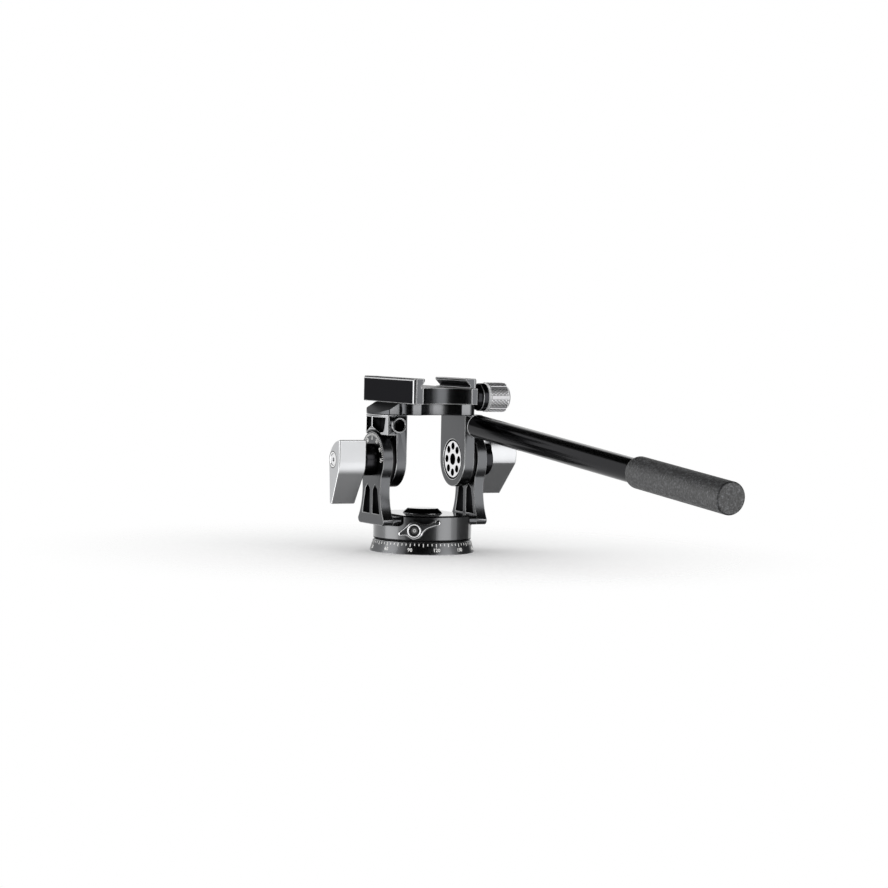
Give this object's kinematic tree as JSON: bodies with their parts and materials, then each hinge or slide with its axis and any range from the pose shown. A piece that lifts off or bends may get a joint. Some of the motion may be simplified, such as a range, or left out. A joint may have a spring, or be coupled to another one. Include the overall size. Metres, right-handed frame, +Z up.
{
  "type": "two-way pan tilt head",
  "caption": "Two-way pan and tilt head with a panning dial base, a tilting yoke on side uprights, winged tilt locks, a dovetail clamp and a long gripped pan handle.",
  "frame": {"origin": "centre of the base's underside, at the mouth of the tripod thread", "axes": "+Z up along the pan axis, +X along the tilt axis towards the handle's side, +Y forward, with the handle reaching back along -Y"},
  "size_m": [0.1146, 0.3145, 0.1001],
  "materials": {
    "black_anodised": "satin black anodised with bright chamfered edges",
    "black_collar": "gloss black anodised",
    "grey_anodised": "satin silver grey anodised",
    "silver_anodised": "bright knurled silver",
    "bright_steel": "bright turned",
    "plain_steel": "machined",
    "black_screw": "black oxide",
    "friction_polymer": "matt",
    "bronze": "sintered bronze",
    "black_tube": "gloss black anodised tube",
    "foam_grip": "fine grained foam"
  },
  "bodies": {
    "base": {"pan_base": "black_anodised", "thrust_washer": "friction_polymer", "retaining_washer": "plain_steel", "retaining_screw": "black_screw"},
    "pan": {"pan_drum": "black_anodised", "top_cap": "black_collar", "brake_shoe": "bronze", "left_upright": "black_anodised", "right_upright": "black_anodised", "foot_screws": "black_screw", "left_axle": "plain_steel", "right_axle": "plain_steel", "left_axle_nut": "bright_steel", "right_axle_nut": "bright_steel", "left_friction_disc": "friction_polymer", "right_friction_disc": "friction_polymer"},
    "lever": {"pan_lever": "black_anodised", "lock_stud": "plain_steel", "lever_screw": "black_screw"},
    "yoke": {"yoke_plate": "black_anodised", "left_arm": "black_anodised", "right_arm": "black_anodised", "arm_screws": "black_screw", "left_bush": "bronze", "right_bush": "bronze", "clamp_body": "black_anodised", "clamp_bolts": "black_screw", "handle_stud": "plain_steel", "handle_ferrule": "bright_steel", "handle_tube": "black_tube", "handle_grip": "foam_grip"},
    "jaw": {"clamp_jaw": "black_anodised", "guide_pins": "plain_steel"},
    "knob": {"clamp_knob": "silver_anodised", "clamp_stud": "plain_steel", "clamp_neck": "black_collar"},
    "left_lock": {"left_wing_knob": "grey_anodised", "left_collar": "black_collar", "left_wing_screw": "bright_steel"},
    "right_lock": {"right_wing_knob": "grey_anodised", "right_collar": "black_collar", "right_wing_screw": "bright_steel"}
  },
  "joints": [
    {"name": "pan", "type": "hinge", "parent": "base", "child": "pan", "pos_m": [0, 0, 0.014], "axis": [0, 0, 1], "continuous": true},
    {"name": "tilt", "type": "hinge", "parent": "pan", "child": "yoke", "pos_m": [0, 0, 0.053], "axis": [1, 0, 0], "range_deg": [-90, 70]},
    {"name": "pan_lock", "type": "hinge", "parent": "pan", "child": "lever", "pos_m": [-0.01678, -0.02487, 0.0139], "axis": [-0.5592, -0.829, 0], "range_deg": [-45, 45]},
    {"name": "left_tilt_lock", "type": "hinge", "parent": "pan", "child": "left_lock", "pos_m": [-0.045, 0, 0.053], "axis": [-1, 0, 0], "range_deg": [-90, 90]},
    {"name": "right_tilt_lock", "type": "hinge", "parent": "pan", "child": "right_lock", "pos_m": [0.045, 0, 0.053], "axis": [1, 0, 0], "range_deg": [-90, 90]},
    {"name": "jaw_slide", "type": "slide", "parent": "yoke", "child": "jaw", "axis": [1, 0, 0], "range_m": [0, 0.004]},
    {"name": "clamp_turn", "type": "hinge", "parent": "jaw", "child": "knob", "pos_m": [0.045, 0, 0.089], "axis": [1, 0, 0], "range_deg": [-45, 790]}
  ],
  "couplings": [
    {"joint": "clamp_turn", "follows": "jaw_slide", "rad_per_m": 3141.6}
  ]
}
